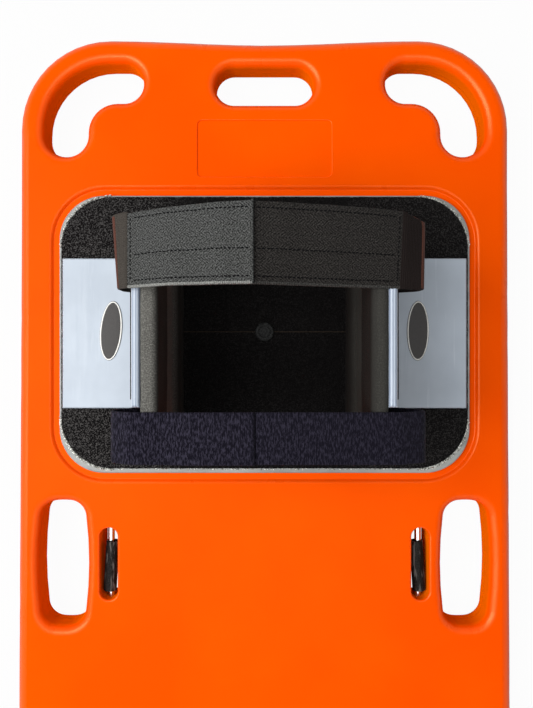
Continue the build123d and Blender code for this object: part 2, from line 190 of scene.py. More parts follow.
def moulded_orange():
    tint = (1.0, 0.8, 0.36, 1)
    look = Look("board_orange", (1.0, 0.1, 0.0), 0.4, specular=0.12, specular_tint=tint)
    cloud = look.remap(look.noise(0.12, 3), 0.35, 0.65)
    tone = look.mix(cloud, (1.0, 0.093, 0.0), (0.97, 0.081, 0.0))
    # Painted bounce light: walls take a warmer, lighter orange, standing in for light that passes
    # from wall to wall in a hole
    up = look.upward()
    wall = look.remap(look.sum("ABSOLUTE", up), 0.0, 0.5, 1.0, 0.0)
    tone = look.mix(wall, tone, (1.0, 0.165, 0.0))
    speck = look.remap(look.noise(0.004, 2), 0.72, 0.76, 0.0, 0.35)
    look.paint(speck, tone, (0.9, 0.07, 0.0))
    look.rough(look.noise(0.03, 3, (1.0, 0.5, 1.0)), 0.26, 0.31)
    # Rounded rims shine, the deck and the underside less, and the walls not at all
    rising = look.remap(up, 0.5, 0.8, 0.0, 0.48)
    flat = look.remap(up, 0.93, 0.998, 1.0, 0.06)
    rim = look.sum("MULTIPLY", rising, flat)
    under = look.remap(up, -0.995, -0.9, 0.12, 0.0)
    look.drive("Specular IOR Level", look.sum("ADD", rim, under))
    look.bump(look.noise(0.02, 1), 0.00025, 0.5)
    look.bump(look.noise(0.0012, 1), 0.00006, 0.8)
    # The mould's parting line runs round the side
    off_line = look.sum("ABSOLUTE", look.sum("SUBTRACT", look.axis("Z"), PARTING_LINE_Z))
    look.bump(look.remap(off_line, 0.0003, 0.0008, 1.0, 0.0), 0.0004)
    return look


def steel():
    look = Look("pin_steel", (0.62, 0.62, 0.63), 0.18, metallic=1.0)
    draw = look.noise(0.0006, 2, (1.0, 0.06, 1.0))
    look.paint(draw, (0.5, 0.5, 0.51), (0.72, 0.72, 0.73))
    look.rough(draw, 0.12, 0.3)
    look.bump(draw, 0.00002)
    return look


def sleeve_black():
    look = Look("sleeve_black", (0.016, 0.015, 0.014), 0.5, specular=0.05)
    fleck = look.noise(0.0009, 2)
    skin = look.mix(look.remap(fleck, 0.45, 0.7), (0.006, 0.0055, 0.005), (0.03, 0.028, 0.026))
    # Painted highlight: pale wavy streaks along the sleeve
    highlight_streak = look.noise(0.003, 2, (1.0, 0.16, 1.0))
    look.paint(look.remap(highlight_streak, 0.54, 0.62, 0.0, 0.75), skin, (0.13, 0.126, 0.12))
    look.rough(fleck, 0.36, 0.6)
    look.bump(look.noise(0.011, 1), 0.002, 0.9)
    look.bump(fleck, 0.00022)
    return look


def base_grey():
    look = Look("base_grey", (0.3, 0.31, 0.29), 0.45)
    cloud = look.noise(0.012, 4, (0.25, 1.0, 1.0))
    look.paint(look.remap(cloud, 0.35, 0.7), (0.2, 0.205, 0.195), (0.36, 0.37, 0.35))
    look.rough(cloud, 0.35, 0.55)
    look.bump(look.noise(0.0016, 2), 0.00008)
    return look


def pile(name, dark, light, size, depth):
    """Loop or hook fabric: a dark pile with painted grey glints, which painted shade dims between
    the head blocks and towards the right.
    """
    look = Look(name, dark, 0.9, specular=0.05, sheen=0.02, sheen_roughness=0.5)
    fibre = look.noise(size, 2, rough=0.6)
    x = look.axis("X")
    # Painted shade: the glints dim between the head blocks and fall off towards the right
    loops_painted_shade = look.remap(look.sum("ABSOLUTE", x), *LOOPS_OUTSIDE_BLOCKS, 0.16, 1.0)
    loops_painted_shade = look.sum("MULTIPLY", loops_painted_shade, look.remap(x, 0.0, 0.1, 1.0, 0.42))
    glint = look.sum("MULTIPLY", look.remap(fibre, 0.48, 0.64), loops_painted_shade)
    look.paint(glint, dark, light)
    look.bump(look.remap(look.cells(size * 1.6), 0.0, 0.6, 1.0, 0.0), depth)
    look.bump(fibre, depth)
    return look


def stud_black():
    look = Look("stud_black", (0.02, 0.021, 0.02), 0.35, specular=0.05)
    grain = look.noise(0.0013, 2)
    look.paint(look.remap(grain, 0.4, 0.7), (0.004, 0.004, 0.004), (0.03, 0.031, 0.03))
    look.rough(grain, 0.3, 0.5)
    look.bump(grain, 0.00008)
    return look


def sheet_plastic():
    look = Look("bracket_grey", (0.5, 0.56, 0.64), 0.34, specular=0.4)
    cloud = look.remap(look.noise(0.05, 3), 0.35, 0.65)
    tone = look.mix(cloud, (0.41, 0.465, 0.535), (0.465, 0.525, 0.6))
    # Dark stripes run across the top edge of the wall
    side = look.sum("ABSOLUTE", look.axis("X"))
    stripes = look.sum("SINE", look.sum("MULTIPLY", side, math.tau / WALL_STRIPE_PITCH))
    stripes = look.sum("MULTIPLY", stripes, look.sum("LESS_THAN", side, WALL_STRIPES_TO))
    tone = look.mix(look.remap(stripes, 0.0, 0.9, 0.0, 0.85), tone, (0.14, 0.18, 0.28))
    hair = look.noise(0.004, 4, (1.0, 0.05, 1.0))
    look.paint(look.remap(hair, 0.62, 0.72, 0.0, 0.25), tone, (0.75, 0.79, 0.85))
    look.rough(hair, 0.28, 0.46)
    look.bump(look.noise(0.03, 1), 0.0002, 0.4)
    look.bump(look.noise(0.0009, 1), 0.00003)
    return look


def foam_skin():
    look = Look("foam_black", (0.05, 0.047, 0.042), 0.75, specular=0.1)
    pore = look.noise(0.0011, 3, rough=0.7)
    cloud = look.remap(look.noise(0.02, 2), 0.3, 0.7)
    tone = look.mix(cloud, (0.06, 0.058, 0.052), (0.082, 0.079, 0.071))
    skin = look.mix(look.remap(pore, 0.45, 0.65), tone, (0.18, 0.176, 0.16))
    # Painted shade: the right pad is darker all over, and both pads are darker on their inner
    # faces
    x = look.axis("X")
    skin = look.mix(look.remap(x, -0.01, 0.01, 0.0, 0.8), skin, (0.017, 0.016, 0.0135))
    outward = look.remap(look.sum("ABSOLUTE", x), *PAD_INSIDE_TO_SKIN)
    look.paint(outward, (0.009, 0.0075, 0.0065), skin)
    look.rough(pore, 0.6, 0.85)
    look.bump(pore, 0.00025)
    return look


def badge_field():
    base = (0.04, 0.036, 0.034)
    look = Look("badge_grey", base, 0.3, specular=0.08, coat=0.1, coat_roughness=0.1)
    grain = look.noise(0.0008, 2)
    look.paint(grain, (0.028, 0.025, 0.024), (0.06, 0.055, 0.052))
    look.bump(grain, 0.00003)
    return look


def badge_rim():
    look = Look("badge_rim", (0.86, 0.85, 0.8), 0.35)
    grain = look.noise(0.0012, 2)
    look.paint(grain, (0.8, 0.79, 0.73), (0.92, 0.91, 0.88))
    look.bump(grain, 0.00003)
    return look


def twill(name, dark, light, slant=0.9):
    """Strap cloth seen along its length in U and across it in V, both in metres."""
    look = Look(name, dark, 0.82, specular=0.08, sheen=0.02, sheen_roughness=0.4)
    zig, zag = look.waves(0.0016, slant, 3.5), look.waves(0.0016, -slant, 3.5)
    turns = look.remap(look.waves(0.0085, math.pi / 2, 1.0), 0.4, 0.6)
    line = look.mix(turns, zig, zag)
    fibre = look.noise(0.0011, 3, source="UV", rough=0.75)
    fuzz = look.remap(fibre, 0.42, 0.64, 0.0, 0.85)
    shade = look.sum("ADD", look.sum("MULTIPLY", line, 0.3), fuzz)
    look.paint(look.remap(shade, 0.1, 1.1), dark, light)
    look.rough(fibre, 0.72, 0.9)
    look.bump(line, 0.0003)
    look.bump(fibre, 0.0005)
    return look


def webbing():
    base, dark, light = (0.012, 0.011, 0.02), (0.0038, 0.0032, 0.007), (0.03, 0.027, 0.043)
    look = Look("strap_dark", base, 0.9, specular=0.08, sheen=0.02, sheen_roughness=0.5)
    fibre = look.noise(0.0021, 3, (1.6, 0.5, 1.0), source="UV", rough=0.7)
    # Painted shade: the webbing darkens towards the right
    webbing_painted_shade = look.remap(look.axis("X"), -0.05, 0.05, 1.0, 0.6)
    look.paint(look.sum("MULTIPLY", look.remap(fibre, 0.46, 0.6), webbing_painted_shade), dark, light)
    look.bump(fibre, 0.0008)
    look.bump(look.waves(0.0014, 0.0, 2.5), 0.0001)
    return look


def ribbed(name, dark, light):
    look = Look(name, dark, 0.75, specular=0.08, sheen=0.02)
    fibre = look.noise(0.0006, 2, source="UV", rough=0.7)
    look.paint(look.remap(fibre, 0.35, 0.7), dark, light)
    look.bump(look.waves(0.0009, math.pi / 2, 0.6), 0.0001)
    look.bump(fibre, 0.0002)
    return look


def thread(name, colour):
    look = Look(name, colour, 0.8, specular=0.05)
    ply = look.noise(0.0005, 1)
    look.paint(ply, tuple(c * 0.6 for c in colour), tuple(c * 1.5 for c in colour))
    look.bump(ply, 0.0001)
    return look


def glue():
    look = Look("glue", (0.7, 0.72, 0.7), 0.25)
    grain = look.noise(0.0016, 2)
    look.paint(look.remap(grain, 0.4, 0.6), (0.2, 0.2, 0.17), (0.92, 0.93, 0.88))
    look.bump(grain, 0.0001)
    return look


LOOKS = [
    moulded_orange(),
    steel(),
    sleeve_black(),
    base_grey(),
    stud_black(),
    sheet_plastic(),
    foam_skin(),
    badge_field(),
    badge_rim(),
    webbing(),
    glue(),
    pile("loop_black", (0.0033, 0.0028, 0.0028), (0.07, 0.066, 0.064), 0.0012, 0.0006),
    pile("tape_black", (0.012, 0.01, 0.012), (0.05, 0.046, 0.05), 0.0009, 0.0005),
    # Each strap look has a darker _shade copy, which is painted shade for the right half of the
    # forehead strap
    twill("strap_grey", (0.011, 0.0115, 0.0108), (0.138, 0.141, 0.136)),
    twill("strap_shade", (0.0035, 0.003, 0.0027), (0.06, 0.055, 0.051)),
    twill("strap_band", (0.14, 0.141, 0.132), (0.34, 0.342, 0.325), 0.0),
    twill("strap_band_shade", (0.02, 0.0195, 0.0185), (0.09, 0.086, 0.08), 0.0),
    ribbed("strap_rib", (0.022, 0.018, 0.015), (0.085, 0.075, 0.065)),
    ribbed("strap_rib_shade", (0.005, 0.003, 0.0027), (0.016, 0.011, 0.01)),
    ribbed("strap_edge", (0.05, 0.018, 0.012), (0.13, 0.05, 0.035)),
    thread("thread_dark", (0.003, 0.003, 0.0035)),
    thread("thread_grey", (0.06, 0.058, 0.055)),
    thread("seam_brown", (0.03, 0.022, 0.016)),
]
MATERIALS = {look.name: look.material for look in LOOKS}


# Making pieces
def piece(name, mesh, look, body, replaces=()):
    """A smooth mesh that rides on a body and takes the named look."""
    obj = bpy.data.objects.new(name, mesh)
    scene.collection.objects.link(obj)
    mesh.materials.append(MATERIALS[look])
    for face in mesh.polygons:
        face.use_smooth = True
    if replaces:
        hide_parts(*replaces)
    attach(obj, body)
    return obj


def one_ring(first, count):
    """The numbers of a ring's points, which close an end."""
    return tuple(range(first, first + count))


def between_rings(first, rings, count):
    """The faces between rings of count points, numbered from first."""
    faces = []
    for this in range(first, first + (rings - 1) * count, count):
        for a in range(count):
            b = (a + 1) % count
            faces.append((this + a, this + b, this + count + b, this + count + a))
    return faces


def from_rings(name, rings, uvs=None, closed_ends=True):
    """A mesh through rings of equal numbers of points, with U along them and V around."""
    mesh = bpy.data.meshes.new(name)
    count = len(rings[0])
    faces = between_rings(0, len(rings), count)
    sides = len(faces)
    if closed_ends:
        faces.append(one_ring(0, count)[::-1])
        faces.append(one_ring((len(rings) - 1) * count, count))
    mesh.from_pydata([p for ring in rings for p in ring], [], faces)
    if uvs:
        layer = mesh.uv_layers.new(name="UVMap")
        for face in mesh.polygons[:sides]:
            i, j = divmod(face.index, count)
            corners = ((i, j), (i, j + 1), (i + 1, j + 1), (i + 1, j))
            for loop, (u, v) in zip(face.loop_indices, corners):
                layer.data[loop].uv = (uvs[0][u], uvs[1][v])
    work = bmesh.new()
    work.from_mesh(mesh)
    bmesh.ops.recalc_face_normals(work, faces=work.faces)
    work.to_mesh(mesh)
    work.free()
    return mesh


ARC_STEPS = 12


def rounded_line(points, radius, step):
    """Points spaced by about step along a line of straight runs with rounded corners."""
    line = [Vector(points[0])]
    for before, corner, after in zip(points, points[1:], points[2:]):
        before, corner, after = Vector(before), Vector(corner), Vector(after)
        back, ahead = (before - corner), (after - corner)
        half = back.angle(ahead) / 2
        reach = min(radius / math.tan(half), back.length * 0.49, ahead.length * 0.49)
        size = reach * math.tan(half)
        start = corner + back.normalized() * reach
        end = corner + ahead.normalized() * reach
        inward = (back.normalized() + ahead.normalized()).normalized()
        centre = corner + inward * size / math.sin(half)
        for i in range(ARC_STEPS + 1):
            mid = (start - centre).lerp(end - centre, i / ARC_STEPS)
            line.append(centre + mid.normalized() * size)
    line.append(Vector(points[-1]))
    lengths = [0.0]
    for a, b in zip(line, line[1:]):
        lengths.append(lengths[-1] + (b - a).length)
    count = max(2, round(lengths[-1] / step))
    even, k = [], 0
    for i in range(count + 1):
        want = lengths[-1] * i / count
        while k < len(line) - 2 and lengths[k + 1] < want:
            k += 1
        gap = lengths[k + 1] - lengths[k]
        even.append(line[k].lerp(line[k + 1], (want - lengths[k]) / gap if gap else 0))
    return even, lengths[-1]


def run_length(points):
    return sum((Vector(b) - Vector(a)).length for a, b in zip(points, points[1:]))


class Ribbon:
    """A strap along a line in the XZ plane, from its head edge y_head to its foot edge y_foot."""

    LINE_STEP = 0.0004
    BEND_RADIUS = 8 * MM
    EDGE_RADIUS = 0.0012
    EDGE_ANGLES = (0.0, 0.6, 1.2)
    END_THICKNESS = 0.35
    STITCH_START, STITCH_JITTER, STITCH_SLIP, STITCH_RISE = 0.25, 0.05, 0.12, 0.35
    THREAD_SIDES = 6
    THREAD_RINGS = ((0.0, 0.3), (0.2, 0.9), (0.5, 1.0), (0.8, 0.9), (1.0, 0.3))

    def __init__(self, points, y_head, y_foot, side, shape=None):
        self.line, self.length = rounded_line(points, self.BEND_RADIUS, self.LINE_STEP)
        self.y_head, self.width = y_head, y_head - y_foot
        self.outward, self.shape = side, shape

    def at(self, u, v, h):
        """The point u metres along, v metres from the head edge and h metres above the middle."""
        f = max(0.0, min(1.0, u / self.length)) * (len(self.line) - 1)
        i = min(int(f), len(self.line) - 2)
        p = self.line[i].lerp(self.line[i + 1], f - i)
        # The direction spans some steps, so that it turns smoothly
        run = self.line[min(i + 3, len(self.line) - 1)] - self.line[max(i - 2, 0)]
        p = p + Vector((-run.y, run.x)).normalized() * self.outward * h
        point = Vector((p.x, self.y_head - v, p.y))
        return self.shape(point, v) if self.shape else point

    def body(self, name, u0, u1, v0, v1, thick, lift=0.0, step=0.002, rows=14, rib=None):
        """A closed strip of the strap with rounded edges, and ribs of (pitch, depth) if asked."""
        edge = min(thick / 2, self.EDGE_RADIUS)
        across = [v0 + edge * (1 - math.cos(a)) for a in self.EDGE_ANGLES]
        rise = [thick / 2 - edge * (1 - math.sin(a)) for a in self.EDGE_ANGLES]
        vs = across + [v0 + edge + (v1 - v0 - 2 * edge) * k / rows for k in range(rows + 1)]
        hs = rise + [thick / 2] * (rows + 1)
        vs += [v1 - (v - v0) for v in across[::-1]]
        hs += rise[::-1]
        loop = list(zip(vs, hs)) + [(v, -h) for v, h in zip(vs[::-1], hs[::-1])]
        count = max(2, round((u1 - u0) / step))
        rings, us = [], []
        for i in range(count + 1):
            u = u0 + (u1 - u0) * i / count
            end = min(i, count - i) * (u1 - u0) / count
            thin = 1.0
            if end <= edge:
                curve = math.sqrt(max(0.0, 1 - (1 - end / edge) ** 2))
                thin = self.END_THICKNESS + (1 - self.END_THICKNESS) * curve
            wave = rib[1] * 0.5 * (1 - math.cos(2 * math.pi * u / rib[0])) if rib else 0.0
            ring = []
            for v, h in loop:
                ring.append(self.at(u, v, lift + h * thin + (wave if h > 0 else 0.0)))
            rings.append(ring)
            us.append(u)
        return from_rings(name, rings, (us, vs + vs[::-1] + [vs[0]]))

    def stitches(self, name, rows, pitch, long, wide, lift):
        """Stitches along rows given as (u0, v0, u1, v1) on the outer face."""
        mesh = bpy.data.meshes.new(name)
        points, faces = [], []
        count, rings = self.THREAD_SIDES, len(self.THREAD_RINGS)
        for u0, v0, u1, v1 in rows:
            reach = math.hypot(u1 - u0, v1 - v0)
            du, dv = (u1 - u0) / reach, (v1 - v0) / reach
            for k in range(int(reach / pitch)):
                jitter = random.uniform(-self.STITCH_JITTER, self.STITCH_JITTER)
                s = (k + self.STITCH_START + jitter) * pitch / reach
                e = s + long / reach
                if e > 1:
                    continue
                slip = random.uniform(-self.STITCH_SLIP, self.STITCH_SLIP) * wide
                ends = [(u0 + (u1 - u0) * q, v0 + (v1 - v0) * q) for q in (s, e)]
                first = len(points)
                for q, size in self.THREAD_RINGS:
                    u = ends[0][0] + (ends[1][0] - ends[0][0]) * q
                    v = ends[0][1] + (ends[1][1] - ends[0][1]) * q + slip
                    for a in range(count):
                        turn = a * math.tau / count
                        shift = wide / 2 * size * math.cos(turn)
                        height = lift + wide * self.STITCH_RISE * size * math.sin(turn)
                        points.append(self.at(u - dv * shift, v + du * shift, height))
                faces += between_rings(first, rings, count)
                faces += [one_ring(first, count), one_ring(len(points) - count, count)]
        mesh.from_pydata(points, [], faces)
        return mesh


OUTLINE_STEP = 0.0015
FRAY_ALONG, FRAY_UP = 900, 400


def cut_sheet(name, outline, origin, across, along, thick, ragged, soft=0.0006):
    """A closed flat sheet of the outline, whose plane is across and along, thick along its normal.

    Its cut edge frays by up to ragged metres and is rounded by soft metres.
    """
    across, along, origin = Vector(across), Vector(along), Vector(origin)
    normal = across.cross(along).normalized()
    line = []
    for a, b in zip(outline, outline[1:] + outline[:1]):
        a, b = Vector(a), Vector(b)
        count = max(1, round((b - a).length / OUTLINE_STEP))
        line += [a.lerp(b, k / count) for k in range(count)]
    middle = sum(line, Vector((0, 0))) / len(line)
    profile = (
        (soft, 0.0),
        (0.0, soft * 0.5),
        (0.0, thick - soft),
        (soft * 0.3, thick - soft * 0.3),
        (soft, thick),
    )
    rings = []
    for inset, height in profile:
        ring = []
        for k, p in enumerate(line):
            run = line[(k + 1) % len(line)] - line[k - 1]
            out = Vector((run.y, -run.x)).normalized()
            if out.dot(p - middle) < 0:
                out = -out
            spot = Vector((p.x * FRAY_ALONG, p.y * FRAY_ALONG, height * FRAY_UP))
            q = p - out * (inset + abs(ragged * noise.noise(spot)))
            ring.append(origin + across * q.x + along * q.y + normal * height)
        rings.append(ring)
    return from_rings(name, rings)


def flat_sheet(name, outline, low, thick, ragged, soft=0.0006):
    """A sheet that lies in the XY plane, with its lower face at low.z."""
    return cut_sheet(name, outline, (0, 0, low.z), (1, 0, 0), (0, 1, 0), thick, ragged, soft)


def upright_sheet(name, outline, low, high, side, ragged):
    """A sheet that stands in the YZ plane between low.x and high.x, its outline as (y, z)."""
    y_axis, z_axis, thick = (0, 1, 0), (0, 0, 1), high.x - low.x
    if side > 0:
        return cut_sheet(name, outline, (low.x, 0, 0), y_axis, z_axis, thick, ragged)
    flipped = [(z, y) for y, z in outline]
    return cut_sheet(name, flipped, (high.x, 0, 0), z_axis, y_axis, thick, ragged)


def rectangle(x0, y0, x1, y1):
    return [(x0, y0), (x1, y0), (x1, y1), (x0, y1)]


def rounded_rectangle(width, length, radius, count=14):
    """Outline of a rectangle with rounded corners, with count steps in each corner."""
    points = []
    for cx, cy, start in ((1, 1, 0), (-1, 1, 90), (-1, -1, 180), (1, -1, 270)):
        for k in range(count + 1):
            a = math.radians(start + 90 * k / count)
            x = cx * (width / 2 - radius) + radius * math.cos(a)
            y = cy * (length / 2 - radius) + radius * math.sin(a)
            points.append((x, y))
    return points


# Every CAD node takes its slot's look, and those that a piece stands for don't show
for record_part in frame["record"]["subparts"]:
    node = nodes[record_part["node"]]
    node.data.materials.clear()
    node.data.materials.append(MATERIALS[record_part["material_slot"]])

# Camera, straight above the head end
CAMERA_OVER_DECK = 0.65
camera = bpy.data.objects.new("camera", bpy.data.cameras.new("camera"))
scene.collection.objects.link(camera)
camera.location = (0.0004, 0.6261, BOARD_TOP + CAMERA_OVER_DECK)
camera.data.sensor_fit = "AUTO"
camera.data.sensor_width = 36
camera.data.lens = 35.2
camera.data.shift_x = 0.0022
camera.data.shift_y = -0.0127
camera.data.clip_start = 0.01
scene.camera = camera

# Loop fabric on the base, in two panels that meet at a seam
SEAM_GAP, SEAM_HALF_WIDTH, SEAM_END_INSET, SEAM_PROUD = 0.15 * MM, 0.4 * MM, 20 * MM, 0.1 * MM
loop_low, loop_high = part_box("loop_panel_foot")[0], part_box("loop_panel_head")[1]
seam_y = (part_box("loop_panel_head")[0].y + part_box("loop_panel_foot")[1].y) / 2
loop_y = (loop_low.y + loop_high.y) / 2
loop_width, loop_length = loop_high.x - loop_low.x, loop_high.y - loop_low.y
whole = [(x, loop_y + y) for x, y in rounded_rectangle(loop_width, loop_length, LOOP_CORNER)]
for which, end in (("head", 1), ("foot", -1)):
    low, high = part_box(f"loop_panel_{which}")
    cut = seam_y + end * SEAM_GAP
    outline = [p for p in whole if (p[1] - cut) * end > 0]
    outline += [(-end * loop_width / 2, cut), (end * loop_width / 2, cut)]
    name = f"loop_fabric_{which}"
    mesh = flat_sheet(name, outline, low, high.z - low.z, 0.0006)
    cloth = piece(name, mesh, "loop_black", "board", [f"loop_panel_{which}"])
reach = loop_width / 2 - SEAM_END_INSET
outline = rectangle(-reach, seam_y - SEAM_HALF_WIDTH, reach, seam_y + SEAM_HALF_WIDTH)
seam_height = loop_high.z - loop_low.z + SEAM_PROUD
mesh = flat_sheet("loop_seam", outline, loop_low, seam_height, 0.0003, 0.0001)
piece("loop_seam", mesh, "seam_brown", "board")

# Glue that shows beside the loop fabric, most of it at the corners and the foot edge
SPECK_SIDES = 7
GLUE_LINE = 1.6 * MM
GLUE_CORNER = 46 * MM
GLUE_SPREAD = (-1.0, 1.1)
speck_points, speck_faces = [], []


def speck(centre, size, rings, stretch_x, stretch_y):
    """Adds a small heap of glue, through rings of (share of its size, rise in mm)."""
    first = len(speck_points)
    for share, rise in rings:
        for a in range(SPECK_SIDES):
            turn = a * math.tau / SPECK_SIDES
            wide = size * share * random.uniform(0.6, 1.2)
            x, y = wide * stretch_x * math.cos(turn), wide * stretch_y * math.sin(turn)
            speck_points.append(centre + Vector((x, y, rise * MM)))
    speck_faces.extend(between_rings(first, len(rings), SPECK_SIDES))
    speck_faces.append(one_ring(len(speck_points) - SPECK_SIDES, SPECK_SIDES))
    speck_faces.append(one_ring(first, SPECK_SIDES)[::-1])


glue_line = rounded_rectangle(loop_width + GLUE_LINE, loop_length + GLUE_LINE, LOOP_CORNER, 110)
for x, y in glue_line:
    corner = abs(x) > loop_width / 2 - GLUE_CORNER and abs(y) > loop_length / 2 - GLUE_CORNER
    if corner:
        chance = 0.9 if y < 0 else 0.5
    else:
        chance = 0.12 if abs(x) > abs(y) else 0.0
    for _ in range(5 if y < 0 else 3):
        if random.random() > chance:
            continue
        size = random.uniform(0.3, 1.05) * MM
        speck_x = x + random.uniform(*GLUE_SPREAD) * MM
        speck_y = loop_y + y + random.uniform(*GLUE_SPREAD) * MM
        # A speck on the fabric's edge stands on its pile
        lift = 2.6 if abs(speck_x) < abs(x) else 0.9
        rings = ((1.0, 0.0), (0.8, 0.6 * lift), (0.2, 0.9 * lift))
        speck(Vector((speck_x, speck_y, loop_low.z)), size, rings, 1.0, 0.8)
for _ in range(150):
    x = random.uniform(-0.36, 0.36) * loop_width
    centre = Vector((x, loop_low.y - random.uniform(0.0, 1.2) * MM, loop_low.z))
    size = random.uniform(0.3, 0.8) * MM
    speck(centre, size, ((1.0, 0.0), (0.75, 0.6), (0.2, 0.9)), 1.4, 1.0)
mesh = bpy.data.meshes.new("glue_specks")
mesh.from_pydata(speck_points, [], speck_faces)
piece("glue_specks", mesh, "glue", "board")

# What each head block carries: pad, tapes, patch and the badge's rim
PAD_VOXEL, PAD_QUICK_VOXEL = 0.0018, 0.003
PAD_SMOOTHINGS = 2
PAD_CROWN = 0.0005
# Ripples of the pad's skin as (depth, rate per metre)
PAD_RIPPLES = ((0.00035, 45), (0.00015, 140))
TAPE_INSET = 6 * MM
BADGE_TILT = {"left": -5.0, "right": -0.7}
# The rim's profile as half widths, half lengths and heights in mm
RIM_PROFILE = (
    (9.9, 27.2, -0.1),
    (9.9, 27.2, 0.1),
    (9.7, 27.0, 0.22),
    (8.9, 26.2, 0.22),
    (8.7, 26.0, 0.1),
    (8.7, 26.0, -0.1),
)
RIM_STEPS = 72


def softened(name, solid, low, high, side):
    """A foam pad made from its solid, with soft corners, a low crown inside and slight ripples."""
    draft = bpy.data.objects.new(name, solid.data.copy())
    scene.collection.objects.link(draft)
    voxels = draft.modifiers.new("voxels", "REMESH")
    voxels.mode = "VOXEL"
    voxels.voxel_size = PAD_VOXEL
    evaluated = draft.evaluated_get(bpy.context.evaluated_depsgraph_get())
    mesh = bpy.data.meshes.new_from_object(evaluated)
    bpy.data.objects.remove(draft)
    work = bmesh.new()
    work.from_mesh(mesh)
    every_way = {"use_axis_x": True, "use_axis_y": True, "use_axis_z": True}
    for _ in range(PAD_SMOOTHINGS):
        bmesh.ops.smooth_vert(work, verts=work.verts, factor=0.5, **every_way)
    middle = (low + high) / 2
    for vert in work.verts:
        across = (vert.co.y - middle.y) / (high.y - low.y) * 2
        up = (vert.co.z - middle.z) / (high.z - low.z) * 2
        crown = PAD_CROWN * (1 - across**2) * (1 - up**2)
        ripple = sum(depth * noise.noise(vert.co * rate) for depth, rate in PAD_RIPPLES)
        inner = 1 if (vert.co.x - middle.x) * side < 0 else 0
        vert.co += vert.normal * (ripple + crown * inner)
    work.to_mesh(mesh)
    work.free()
    mesh.materials.clear()
    mesh.name = name
    return mesh


for side_name, side in SIDES.items():
    body = f"{side_name}_block"

    low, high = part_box(f"foam_pad_{side_name}")
    mesh = softened(f"pad_{side_name}", nodes[f"foam_pad_{side_name}"], low, high, side)
    solid_names = [f"foam_pad_{side_name}"]
    pad = piece(f"pad_{side_name}", mesh, "foam_black", body, solid_names)

    # Loop tape on the wall and its gusset
    low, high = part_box(f"wall_tape_{side_name}")
    wall_foot = WALL_FOOT_Y + TAPE_INSET
    outline = [
        (low.y, low.z),
        (high.y, low.z),
        (high.y, high.z),
        (wall_foot, high.z),
        (wall_foot, GUSSET_TOP - TAPE_INSET),
        (low.y, GUSSET_FOOT),
    ]
    name = f"wall_loop_{side_name}"
    mesh = upright_sheet(name, outline, low, high, side, 0.0007)
    cloth = piece(name, mesh, "tape_black", body, [f"wall_tape_{side_name}"])
    tall, long = high.z - low.z, high.y - low.y

    # Hook tape under the foot plate
    low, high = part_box(f"foot_hook_{side_name}")
    outline = rectangle(low.x, low.y, high.x, high.y)
    name = f"hook_{side_name}"
    mesh = flat_sheet(name, outline, low, high.z - low.z, 0.0005)
    cloth = piece(name, mesh, "tape_black", body, [f"foot_hook_{side_name}"])

    # Patch for the chin strap
    low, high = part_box(f"chin_anchor_{side_name}")
    outline = rectangle(low.y, low.z, high.y, high.z)
    name = f"chin_patch_{side_name}"
    mesh = upright_sheet(name, outline, low, high, side, 0.0005)
    cloth = piece(name, mesh, "tape_black", body, [f"chin_anchor_{side_name}"])

    # White rim of the badge
    low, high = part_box(f"badge_{side_name}")
    tilt = math.radians(BADGE_TILT[side_name])
    centre = (low + high) / 2
    rings = []
    for wide, long, z in RIM_PROFILE:
        ring = []
        for k in range(RIM_STEPS):
            a = k * math.tau / RIM_STEPS
            x, y = wide * MM * math.cos(a), long * MM * math.sin(a)
            spot_x = centre.x + x * math.cos(tilt) - y * math.sin(tilt)
            spot_y = centre.y + x * math.sin(tilt) + y * math.cos(tilt)
            ring.append(Vector((spot_x, spot_y, high.z + z * MM)))
        rings.append(ring)
    mesh = from_rings(f"badge_rim_{side_name}", rings, closed_ends=False)
    piece(f"badge_rim_{side_name}", mesh, "badge_rim", body)

# Forehead strap
# How far the head edge and the foot edge stand above the middle line, as (x, rise)
HEAD_EDGE = [
    (-0.105, 0.0),
    (-0.098, 0.0),
    (-0.065, 0.006),
    (-0.035, 0.006),
    (-0.007, 0.001),
    (0.02, 0.005),
    (0.045, 0.008),
    (0.072, 0.009),
    (0.098, 0.007),
    (0.115, 0.003),
]
FOOT_EDGE = [
    (-0.105, 0.0),
    (-0.098, 0.0),
    (-0.065, 0.006),
    (-0.035, -0.0005),
    (-0.007, -0.0095),
    (0.03, -0.0095),
    (0.06, -0.009),
    (0.098, -0.007),
    (0.115, -0.003),
]
STRAP_WIDTH = 54.5 * MM
STRAP_THICK = 2.6 * MM
CLOTH_INSET = 0.8 * MM
BAND_WIDTH = 2.6 * MM
# Pitch, length and width of a stitch
FOREHEAD_STITCH = (3.2 * MM, 2.3 * MM, 0.95 * MM)
CHIN_STITCH = (3.0 * MM, 2.2 * MM, 0.7 * MM)
TWIST_FROM_Z, TWIST_OVER_Z = 0.172, 0.025
LEFT_FLARE_X, LEFT_FLARE = 0.0985, 0.3
RIGHT_END_X, RIGHT_ROUNDING, RIGHT_ROUNDED_TO = 0.0977, 0.75, 0.007
CLOTH_RIPPLE = 0.0004
CROWN_X, CROWN_Z = -7 * MM, 249 * MM
SHOULDER_X, SHOULDER_Z = 100.7 * MM, 201.5 * MM
LAP = 50 * MM
STRAP_BOW = {"left": 13.5 * MM, "right": 19.5 * MM}
slope = math.atan2(CROWN_Z - SHOULDER_Z, SHOULDER_X + CROWN_X)
drop = 2.9 * MM / math.cos(slope)
crowns = {
    "left": [(CROWN_X, CROWN_Z)],
    "right": [
        (CROWN_X - LAP, CROWN_Z - LAP * math.tan(slope) - drop),
        (CROWN_X, CROWN_Z - drop),
    ],
}
